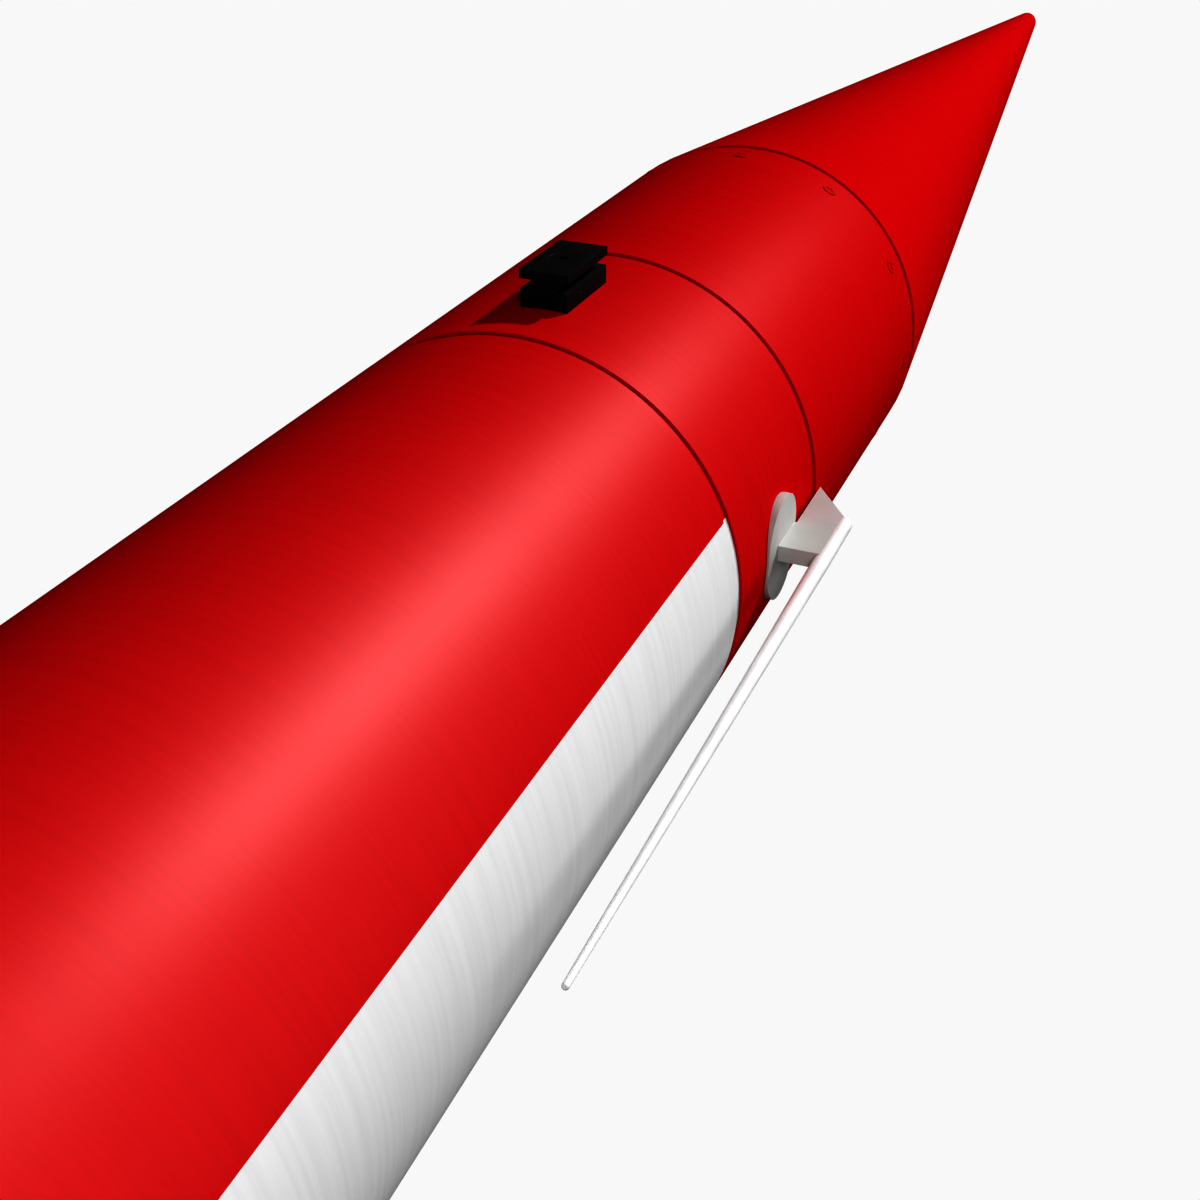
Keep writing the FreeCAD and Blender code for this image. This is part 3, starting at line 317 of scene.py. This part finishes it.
def bare_fibreglass(name, colour=(0.50, 0.53, 0.36), thread=1.1 * MM):
    """Translucent-looking woven glass cloth under epoxy."""
    surface = Surface(name, colour, roughness=0.45)
    arc, height = surface.angle_and_height()
    weave = surface.weave(arc, height, thread)
    cloud = surface.noise((60, 60, 60), detail=3)
    surface.tint(surface.blend(weave, cloud, 0.5), shade(colour, 0.72), shade(colour, 1.12), high=0.8)
    surface.polish(cloud, spread=0.08)
    surface.raise_by(weave, 0.05 * MM, strength=0.7)
    return surface.material


def kraft_tube(name, colour=(0.42, 0.27, 0.15), strip=60 * MM, climb=0.35, seam_share=0.012):
    """Brown paper tube wound from a strip that climbs as it goes round."""
    surface = Surface(name, colour, roughness=0.8)
    arc, height = surface.angle_and_height()
    wound = surface.calculate("ADD", height, surface.calculate("MULTIPLY", arc, climb))
    turns = surface.calculate("FRACT", surface.calculate("DIVIDE", wound, strip))
    seam = surface.calculate("LESS_THAN", turns, seam_share)
    fibres = surface.noise((300, 300, 60), detail=5)
    surface.tint(fibres, shade(colour, 0.8), shade(colour, 1.15))
    surface.polish(fibres, spread=0.08)
    surface.raise_by(fibres, 0.05 * MM, strength=0.5)
    surface.raise_by(surface.calculate("SUBTRACT", 1.0, seam), 0.15 * MM)
    return surface.material


def birch_plywood(name, colour=(0.70, 0.53, 0.34), plies_per_metre=700):
    """Pale grain on the faces, with the plies showing as stripes on the cut edges."""
    surface = Surface(name, colour, roughness=0.65)
    grain = surface.noise((30, 420, 420), detail=6)
    # The wave texture turns through 20 radians in each of its units, and through half a turn in a ply.
    scale = plies_per_metre * math.pi / 20
    plies = surface.node("ShaderNodeTexWave",
                         {"Vector": surface.place, "Scale": scale, "Distortion": 0.4,
                          "Detail": 1, "Detail Scale": 2},
                         bands_direction="Z").outputs["Fac"]
    surface.tint(surface.blend(plies, grain, 0.25), shade(colour, 0.68), shade(colour, 1.08), low=0.25)
    surface.polish(grain, spread=0.07)
    surface.raise_by(grain, 0.06 * MM, strength=0.6)
    return surface.material


def metal(name, colour, roughness, per_metre=(1500, 1500, 90)):
    """Drawn metal with fine lines along the rocket, unless the lines' fineness says otherwise."""
    surface = Surface(name, colour, roughness, metallic=1)
    lines = surface.noise(per_metre)
    surface.tint(lines, shade(colour, 0.86), shade(colour, 1.05))
    surface.polish(lines, spread=0.08)
    surface.raise_by(lines, 0.01 * MM, strength=0.5)
    return surface.material


def turned_metal(name, colour, roughness):
    """Metal with the fine rings that a lathe leaves."""
    return metal(name, colour, roughness, per_metre=(90, 90, 2600))


def moulded(name, colour, roughness, grain_depth=0.02 * MM, gloss=0.5):
    """Moulded plastic with a fine spark-eroded grain."""
    surface = Surface(name, colour, roughness, Specular_IOR_Level=gloss)
    grain = surface.noise((1600, 1600, 1600), detail=3)
    cloud = surface.noise((80, 80, 80), detail=2)
    surface.tint(cloud, shade(colour, 0.94), shade(colour, 1.05))
    surface.polish(grain, spread=0.06)
    surface.raise_by(grain, grain_depth, strength=0.6)
    return surface.material


def circuit_board(name, mask=(0.015, 0.15, 0.06), track=(0.05, 0.28, 0.12),
                  cells_per_metre=260, track_width=0.06):
    """Green solder mask over a net of copper tracks."""
    surface = Surface(name, mask, roughness=0.3)
    cells = surface.node("ShaderNodeTexVoronoi", {"Vector": surface.place, "Scale": cells_per_metre},
                         feature="DISTANCE_TO_EDGE", distance="EUCLIDEAN").outputs["Distance"]
    surface.tint(cells, track, mask, low=0.04, high=0.09)
    surface.polish(surface.noise((500, 500, 500)), spread=0.05)
    surface.raise_by(surface.calculate("LESS_THAN", cells, track_width), 0.03 * MM)
    return surface.material


def cloth(name, colour, thread=0.9 * MM):
    """Plain-woven cloth: crossing threads, with soft wear and fuzz."""
    surface = Surface(name, colour, roughness=0.85, Sheen_Weight=0.25, Sheen_Roughness=0.4)
    place = surface.split()
    weave = surface.weave(surface.calculate("ADD", place["X"], place["Y"]), place["Z"], thread)
    wear = surface.noise((70, 70, 70), detail=5)
    surface.tint(surface.blend(weave, wear, 0.35), shade(colour, 0.6), shade(colour, 1.15),
                 low=0.25, high=0.75)
    surface.raise_by(wear, 0.4 * MM, strength=0.5)
    surface.raise_by(weave, 0.12 * MM, strength=0.8)
    return surface.material


MATERIALS = {
    "red_airframe_paint": airframe_paint("red_airframe_paint", RED),
    "red_screw_paint": airframe_paint("red_screw_paint", RED, roughness=0.4),
    "white_fin_paint": airframe_paint("white_fin_paint", WHITE),
    "bare_fibreglass": bare_fibreglass("bare_fibreglass"),
    "kraft_tube": kraft_tube("kraft_tube"),
    "birch_plywood": birch_plywood("birch_plywood"),
    "plated_steel": metal("plated_steel", (0.62, 0.62, 0.60), 0.34),
    "black_screw": moulded("black_screw", (0.004, 0.004, 0.004), 0.6, 0.001 * MM, gloss=0.12),
    "black_acetal": moulded("black_acetal", (0.004, 0.004, 0.0036), 0.6, 0.002 * MM, gloss=0.15),
    "antenna_metal": moulded("antenna_metal", (0.56, 0.56, 0.545), 0.6, 0.001 * MM, gloss=0.15),
    "antenna_whip": moulded("antenna_whip", (0.80, 0.80, 0.80), 0.5, 0.001 * MM),
    "circuit_board": circuit_board("circuit_board"),
    "black_component": moulded("black_component", (0.02, 0.02, 0.02), 0.45),
    "green_terminal": moulded("green_terminal", (0.03, 0.30, 0.13), 0.4),
    "blue_wrap": moulded("blue_wrap", (0.03, 0.11, 0.40), 0.25, 0.01 * MM),
    "black_webbing": cloth("black_webbing", (0.02, 0.02, 0.024)),
    "grey_case": metal("grey_case", (0.42, 0.43, 0.44), 0.5),
    "switch_brass": metal("switch_brass", (0.72, 0.50, 0.20), 0.3),
    "white_pvc": moulded("white_pvc", (0.78, 0.78, 0.76), 0.4),
    "black_anodise": turned_metal("black_anodise", (0.045, 0.045, 0.05), 0.42),
    "motor_anodise": turned_metal("motor_anodise", (0.06, 0.13, 0.42), 0.36),
    "graphite": moulded("graphite", (0.05, 0.05, 0.055), 0.5),
    "flame_cloth": cloth("flame_cloth", ARAMID),
    "drogue_cloth": cloth("drogue_cloth", ARAMID),
}


# ---- every piece ----

def paint_cad_nodes():
    """Give every CAD node its slot's material."""
    for node, thing in NODES.items():
        thing.data.materials.clear()
        thing.data.materials.append(MATERIALS[SLOT_OF[node]])


def add_piece(name, mesh, node, *materials):
    """Show a mesh in place of a CAD node, on the same body, with its slot's material unless other
    materials are given.
    """
    piece = add_object(name, mesh)
    for material in materials or (MATERIALS[SLOT_OF[node]],):
        mesh.materials.append(material)
    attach(piece, BODY_OF[node])
    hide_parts(node)
    return piece


def smooth(mesh, sharp_degrees):
    """Shade a mesh smooth except across its sharp edges."""
    mesh.shade_smooth()
    mesh.set_sharp_from_angle(angle=math.radians(sharp_degrees))


def around(angle, radius, height):
    """The point at an angle round the rocket's axis."""
    return radius * math.cos(angle), radius * math.sin(angle), height


# ---- pieces with rounded edges ----

# How far the sharp edges of these CAD nodes are rounded.
ROUNDED = {
    0.25 * MM: ("forward_rail_shoe", "aft_rail_shoe"),
    0.2 * MM: ("antenna_a_bracket", "antenna_b_bracket"),
    0.4 * MM: ("fin_1", "fin_2", "fin_3", "fin_4"),
    0.3 * MM: ("retainer_body", "retainer_cap"),
}
SAME_POINT = 0.001 * MM
FLAT_DEGREES = 0.5
SHARP_DEGREES = 30


def make_rounded(node, bevel):
    """A copy of a CAD node with its sharp edges slightly rounded."""
    mesh = NODES[node].data.copy()
    mesh.materials.clear()
    shape = bmesh.new()
    shape.from_mesh(mesh)
    bmesh.ops.remove_doubles(shape, verts=shape.verts, dist=SAME_POINT)
    bmesh.ops.dissolve_limit(shape, angle_limit=math.radians(FLAT_DEGREES),
                             verts=shape.verts, edges=shape.edges)
    limit = math.radians(SHARP_DEGREES)
    sharp = [edge for edge in shape.edges if edge.is_manifold and edge.calc_face_angle() > limit]
    bmesh.ops.bevel(shape, geom=sharp, offset=bevel, segments=3, profile=0.5, affect="EDGES",
                    clamp_overlap=True)
    bmesh.ops.triangulate(shape, faces=[face for face in shape.faces if len(face.verts) > 4])
    shape.to_mesh(mesh)
    shape.free()
    smooth(mesh, sharp_degrees=40)
    add_piece(node + "_finished", mesh, node)


# ---- main tube ----

# Its forward end is reduced to a neck that shows as the joint's groove.
TUBE_WALL = 1.6 * MM
TUBE_RIM = 0.2 * MM
TUBE_SEGMENTS = 192
GROOVE_DEPTH = 0.6 * MM
GROOVE_WIDTH = 2.8 * MM
STRIPE_DEGREES = 45


def lathe(name, outline, segments):
    """A ring of quads turned about the rocket's axis from a closed (radius, height) outline."""
    points = [around(math.tau * step / segments, radius, height)
              for step in range(segments) for radius, height in outline]
    count = len(outline)
    faces = []
    for step in range(segments):
        here, there = step * count, (step + 1) % segments * count
        for index in range(count):
            following = (index + 1) % count
            faces.append((here + index, there + index, there + following, here + following))
    mesh = bpy.data.meshes.new(name)
    mesh.from_pydata(points, [], faces)
    mesh.update()
    return mesh


def make_main_tube():
    """The main tube with its forward groove and rounded rims, and two white stripes."""
    low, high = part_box("booster_tube")
    outer, bottom, top = high[0], low[2], high[2]
    inner, shelf = outer - TUBE_WALL, outer - GROOVE_DEPTH
    groove, rim = top - GROOVE_WIDTH, TUBE_RIM
    outline = [
        (inner + rim, bottom), (outer - rim, bottom), (outer, bottom + rim),
        (outer, groove - rim), (outer - rim, groove),
        (shelf, groove), (shelf, top),
        (inner, top), (inner, bottom + rim),
    ]
    mesh = lathe("main_tube", outline, TUBE_SEGMENTS)
    for face in mesh.polygons:
        across = abs(math.atan2(face.center.y, abs(face.center.x)))
        outside = math.hypot(face.center.x, face.center.y) > shelf - rim / 2
        if outside and across < math.radians(STRIPE_DEGREES / 2):
            face.material_index = 1
    smooth(mesh, sharp_degrees=35)
    add_piece("main_tube", mesh, "booster_tube", MATERIALS["red_airframe_paint"],
              airframe_paint("white_stripe_paint", WHITE))


# ---- parachute bundles ----

# Their rounded ends, the room that is left inside the CAD solid for folds, and their grid.
BUNDLE_CORNER = 12 * MM
BUNDLE_INSET = 2.5 * MM
BUNDLE_GRID = 2.4 * MM
BUNDLE_SEGMENTS = 112
BUNDLE_TIP = 1 * MM

# Their one lapped edge: its step, and in radians where it starts and how it leans and wanders.
LAP_STEP = 2.2 * MM
LAP_START = 0.7
LAP_LEAN_PER_METRE = 2.2
LAP_WANDER = 0.05
LAP_WANDER_PER_METRE = 60

# Their creases: two layers of noise, with the second one finer.
CREASE = 1.1 * MM
CREASES_ROUND = 2.6
CREASES_PER_METRE = 17
FINE_CREASE = 0.6 * MM
FINE_CREASE_SCALE = 2.7

# Their ends, gathered into curling pleats round a tucked-in middle.
PLEATS = 11
PLEAT = 1.1 * MM
PLEAT_RISE = 0.8 * MM
PLEAT_REACH = 14 * MM
PLEAT_CURL_PER_METRE = 90
PLEAT_STRAIGHT_AT = 20 * MM
PLEAT_WAVER = 2
TUCK = 5 * MM
TUCK_REACH = 24 * MM

# The radii from which outwards each kind of fold has its full depth.
LAP_FULL_FROM = 25 * MM
FOLDS_FULL_FROM = 12 * MM
ENDS_FULL_FROM = 6 * MM

CLOTH_STEPS = 16


def quarter_circle(middle_radius, middle_height, corner, start, steps=6):
    """A quarter circle of (radius, height) points, turning left from a start angle."""
    angles = [start + step / steps * math.pi / 2 for step in range(steps + 1)]
    return [(middle_radius + corner * math.cos(angle), middle_height + corner * math.sin(angle))
            for angle in angles]


def bundle_profile(node):
    """The evenly spaced (radius, height) line up a bundle's side, fitted inside its CAD solid."""
    low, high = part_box(node)
    middle = (low[2] + high[2]) / 2
    world = NODES[node].matrix_world
    points = [world @ vertex.co for vertex in NODES[node].data.vertices]
    radii = [max(math.hypot(point.x, point.y) for point in points if (point.z > middle) == above)
             - BUNDLE_INSET for above in (False, True)]
    corner = BUNDLE_CORNER
    bottom, top = low[2] + BUNDLE_INSET, high[2] - BUNDLE_INSET
    line = [(BUNDLE_TIP, bottom)]
    line += quarter_circle(radii[0] - corner, bottom + corner, corner, -math.pi / 2)
    line += quarter_circle(radii[1] - corner, top - corner, corner, 0)
    line.append((BUNDLE_TIP, top))
    spaced = []
    for start, end in zip(line, line[1:]):
        pieces = max(1, round(math.dist(start, end) / BUNDLE_GRID))
        spaced += [(start[0] + (end[0] - start[0]) * step / pieces,
                    start[1] + (end[1] - start[1]) * step / pieces) for step in range(pieces)]
    return spaced + [line[-1]]


def cloth_point(angle, radius, height, bottom, top, seed):
    """A point of the bundle's smooth form, moved by the lap, the creases, the pleats and the tuck."""
    outward = 1 if height > (bottom + top) / 2 else -1
    near_end = max(0, 1 - min(height - bottom, top - height) / PLEAT_REACH)
    near_middle = max(0, 1 - radius / TUCK_REACH)
    lap_at = (LAP_START + LAP_LEAN_PER_METRE * (height - bottom)
              + LAP_WANDER * math.sin(LAP_WANDER_PER_METRE * height))
    lap = LAP_STEP * (0.5 - ((angle - lap_at) / math.tau) % 1)
    spot = Vector(around(angle, CREASES_ROUND, height * CREASES_PER_METRE + seed))
    crease = CREASE * noise.noise(spot) + FINE_CREASE * noise.noise(spot * FINE_CREASE_SCALE)
    curl = PLEAT_CURL_PER_METRE * (radius - PLEAT_STRAIGHT_AT) + PLEAT_WAVER * noise.noise(spot)
    pleat = PLEAT * near_end * math.sin(PLEATS * angle + curl)
    out = (max(radius, BUNDLE_TIP) + lap * min(1, radius / LAP_FULL_FROM)
           + (crease + pleat) * min(1, radius / FOLDS_FULL_FROM))
    rise = PLEAT_RISE * near_end * math.sin(PLEATS * angle) - TUCK * near_middle ** 2
    rise *= min(1, radius / ENDS_FULL_FROM)
    if radius < 2 * BUNDLE_TIP:
        rise -= TUCK
    return around(angle, out, height + outward * rise)


def roll_cloth(node, seed):
    """A bundle's mesh as rolled cloth: one lapped edge up its side, gathered ends and creases."""
    profile = bundle_profile(node)
    bottom, top = profile[0][1], profile[-1][1]
    segments = BUNDLE_SEGMENTS
    points = [cloth_point(math.tau * step / segments, radius, height, bottom, top, seed)
              for radius, height in profile for step in range(segments)]
    faces = []
    for ring in range(len(profile) - 1):
        for step in range(segments):
            here, there = ring * segments + step, ring * segments + (step + 1) % segments
            faces.append((here, there, there + segments, here + segments))
    faces.append(tuple(range(segments))[::-1])
    faces.append(tuple(range(len(points) - segments, len(points))))
    mesh = bpy.data.meshes.new(node + "_cloth")
    mesh.from_pydata(points, [], faces)
    mesh.update()
    return mesh


def settle(piece):
    """Swell and settle a bundle as cloth, with no point moved by more than the room that it has."""
    mesh = piece.data
    start = [vertex.co.copy() for vertex in mesh.vertices]
    modifier = piece.modifiers.new("cloth", "CLOTH")
    settings = modifier.settings
    settings.effector_weights.gravity = 0
    settings.use_pressure = True
    settings.uniform_pressure_force = 4
    settings.shrink_min = -0.06
    settings.tension_stiffness = 12
    settings.compression_stiffness = 12
    settings.bending_stiffness = 0.08
    settings.quality = 5
    for step in range(1, CLOTH_STEPS + 1):
        bpy.context.scene.frame_set(step)
    settled = piece.evaluated_get(bpy.context.evaluated_depsgraph_get())
    found = [vertex.co.copy() for vertex in settled.data.vertices]
    piece.modifiers.remove(modifier)
    bpy.context.scene.frame_set(1)
    for vertex, old, new in zip(mesh.vertices, start, found):
        shift = new - old
        vertex.co = old + shift * min(1, BUNDLE_INSET / max(shift.length, SAME_POINT))


def make_bundle(node, seed):
    """A parachute rolled in its protective cloth, swollen and settled by a cloth simulation."""
    piece = add_piece(node + "_roll", roll_cloth(node, seed), node)
    settle(piece)
    smooth(piece.data, sharp_degrees=60)
    piece.modifiers.new("finer", "SUBSURF").levels = 1


# ---- battery strap ----

STRAP_THICKNESS = 1.2 * MM
STRAP_CORNER = 3 * MM
STRAP_CORNER_STEPS = 8
STRAP_GRID = 0.9 * MM
STRAP_ROWS = 14
STRAP_RIB = 0.06 * MM
STRAP_EDGE = 0.35 * MM
STRAP_EDGE_POWER = 8


def strap_path(half):
    """Evenly spaced points round a rectangle of a half size, with rounded corners."""
    path = []
    for quarter, (side_x, side_y) in enumerate(((1, 1), (-1, 1), (-1, -1), (1, -1))):
        middle = Vector((side_x * (half.x - STRAP_CORNER), side_y * (half.y - STRAP_CORNER), 0))
        for step in range(STRAP_CORNER_STEPS + 1):
            angle = (quarter + step / STRAP_CORNER_STEPS) * math.pi / 2
            path.append(middle + Vector(around(angle, STRAP_CORNER, 0)))
    spaced = []
    for start, end in zip(path, path[1:] + path[:1]):
        pieces = max(1, round((end - start).length / STRAP_GRID))
        spaced += [start.lerp(end, step / pieces) for step in range(pieces)]
    return spaced


def make_strap():
    """The battery's strap as ribbed webbing with rounded turns and softened edges."""
    low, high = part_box("battery_strap")
    centre = (low + high) / 2
    half = ((high - low) / 2) - Vector((STRAP_THICKNESS, STRAP_THICKNESS, 0)) / 2
    path = strap_path(half)
    shape = bmesh.new()
    rings = []
    for index, point in enumerate(path):
        ahead = (path[(index + 1) % len(path)] - path[index - 1]).normalized()
        outward = Vector((ahead.y, -ahead.x, 0))
        ring = []
        for side in (1, -1):
            for row in range(STRAP_ROWS + 1):
                across = (row / STRAP_ROWS * 2 - 1) * side
                rib = STRAP_RIB * (math.cos(index * math.pi) * math.cos(row * math.pi) - 1)
                edge = STRAP_EDGE * abs(across) ** STRAP_EDGE_POWER
                reach = side * (STRAP_THICKNESS / 2 - edge + rib)
                spot = centre + point + outward * reach + Vector((0, 0, half.z * across))
                ring.append(shape.verts.new(spot))
        rings.append(ring)
    for first, second in zip(rings, rings[1:] + rings[:1]):
        for index in range(len(first)):
            following = (index + 1) % len(first)
            shape.faces.new((first[index], second[index], second[following], first[following]))
    bmesh.ops.recalc_face_normals(shape, faces=shape.faces)
    mesh = bpy.data.meshes.new("battery_strap_webbing")
    shape.to_mesh(mesh)
    shape.free()
    smooth(mesh, sharp_degrees=60)
    add_piece("battery_strap_webbing", mesh, "battery_strap")


# ---- the scene ----

make_camera()
make_studio()
paint_cad_nodes()
make_main_tube()
for bevel, nodes in ROUNDED.items():
    for node in nodes:
        make_rounded(node, bevel)
make_strap()
make_bundle("main_parachute", seed=0)
make_bundle("drogue_parachute", seed=40)
